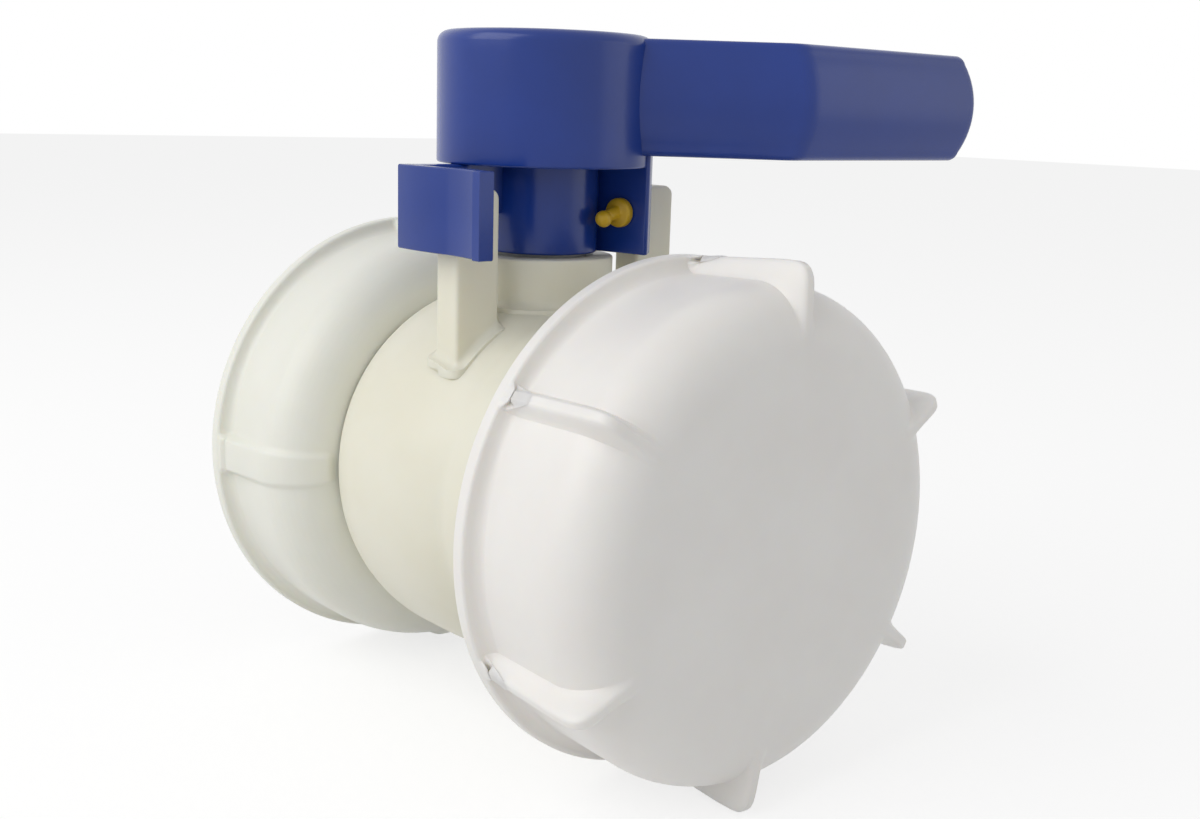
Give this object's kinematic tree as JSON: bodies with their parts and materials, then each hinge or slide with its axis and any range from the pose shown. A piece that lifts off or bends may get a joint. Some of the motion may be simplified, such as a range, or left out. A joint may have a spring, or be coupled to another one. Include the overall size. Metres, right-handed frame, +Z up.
{
  "type": "container ball valve",
  "caption": "Quarter-turn plastic ball valve for a bulk liquid container, with a threaded union nut, bent lever handle with locking pin, and a screwed dust cap.",
  "frame": {"origin": "centre of the union nut's thread at the tank gasket's outer face", "axes": "+Y along the pipe axis towards the tank, -Y towards the outlet and its dust cap, +Z up along the stem, +X towards the lever side while the valve is shut"},
  "size_m": [0.1047, 0.0924, 0.1066],
  "materials": {
    "natural_plastic": "as-moulded natural polyethylene, waxy and slightly translucent",
    "nut_plastic": "as-moulded natural polyethylene, waxy",
    "cap_plastic": "as-moulded white polyethylene, soft satin",
    "ball_plastic": "smooth polished plastic sphere",
    "seat_plastic": "turned white low-friction plastic",
    "stem_plastic": "moulded engineering plastic",
    "blue_plastic": "as-moulded blue polypropylene, semi-gloss",
    "yellow_plastic": "as-moulded yellow plastic, semi-gloss",
    "seal_rubber": "smooth black seal rubber",
    "screw_steel": "plain stainless steel"
  },
  "bodies": {
    "valve": {"valve_body": "natural_plastic", "seat_ring_inlet": "seat_plastic", "seat_ring_outlet": "seat_plastic", "seat_o_ring_inlet": "seal_rubber", "seat_o_ring_outlet": "seal_rubber", "seat_retainer": "natural_plastic", "retainer_o_ring": "seal_rubber", "nut_retaining_ring": "stem_plastic", "tank_gasket": "seal_rubber"},
    "handle": {"handle": "blue_plastic", "stem": "stem_plastic", "ball": "ball_plastic", "stem_thrust_washer": "seat_plastic", "stem_o_ring_lower": "seal_rubber", "stem_o_ring_upper": "seal_rubber", "handle_screw": "screw_steel", "handle_washer": "screw_steel"},
    "lock_pin": {"lock_pin": "yellow_plastic"},
    "union_nut": {"union_nut": "nut_plastic"},
    "cap_carrier": {"cap_seal": "seal_rubber"},
    "dust_cap": {"dust_cap": "cap_plastic"}
  },
  "joints": [
    {"name": "handle_turn", "type": "hinge", "parent": "valve", "child": "handle", "pos_m": [0, -0.027, 0], "axis": [0, 0, 1], "range_deg": [-90, 0]},
    {"name": "pin_pull", "type": "slide", "parent": "handle", "child": "lock_pin", "axis": [-0.9728, -0.2317, 0], "range_m": [0, 0.006]},
    {"name": "nut_turn", "type": "hinge", "parent": "valve", "child": "union_nut", "pos_m": [0, 0, 0], "axis": [0, 1, 0], "continuous": true},
    {"name": "cap_travel", "type": "slide", "parent": "valve", "child": "cap_carrier", "axis": [0, -1, 0], "range_m": [0, 0.0211]},
    {"name": "cap_spin", "type": "hinge", "parent": "cap_carrier", "child": "dust_cap", "pos_m": [0, -0.0765, 0], "axis": [0, -1, 0], "range_deg": [0, 1260]}
  ],
  "couplings": [
    {"joint": "cap_travel", "follows": "cap_spin", "m_per_rad": 0.00095493}
  ]
}
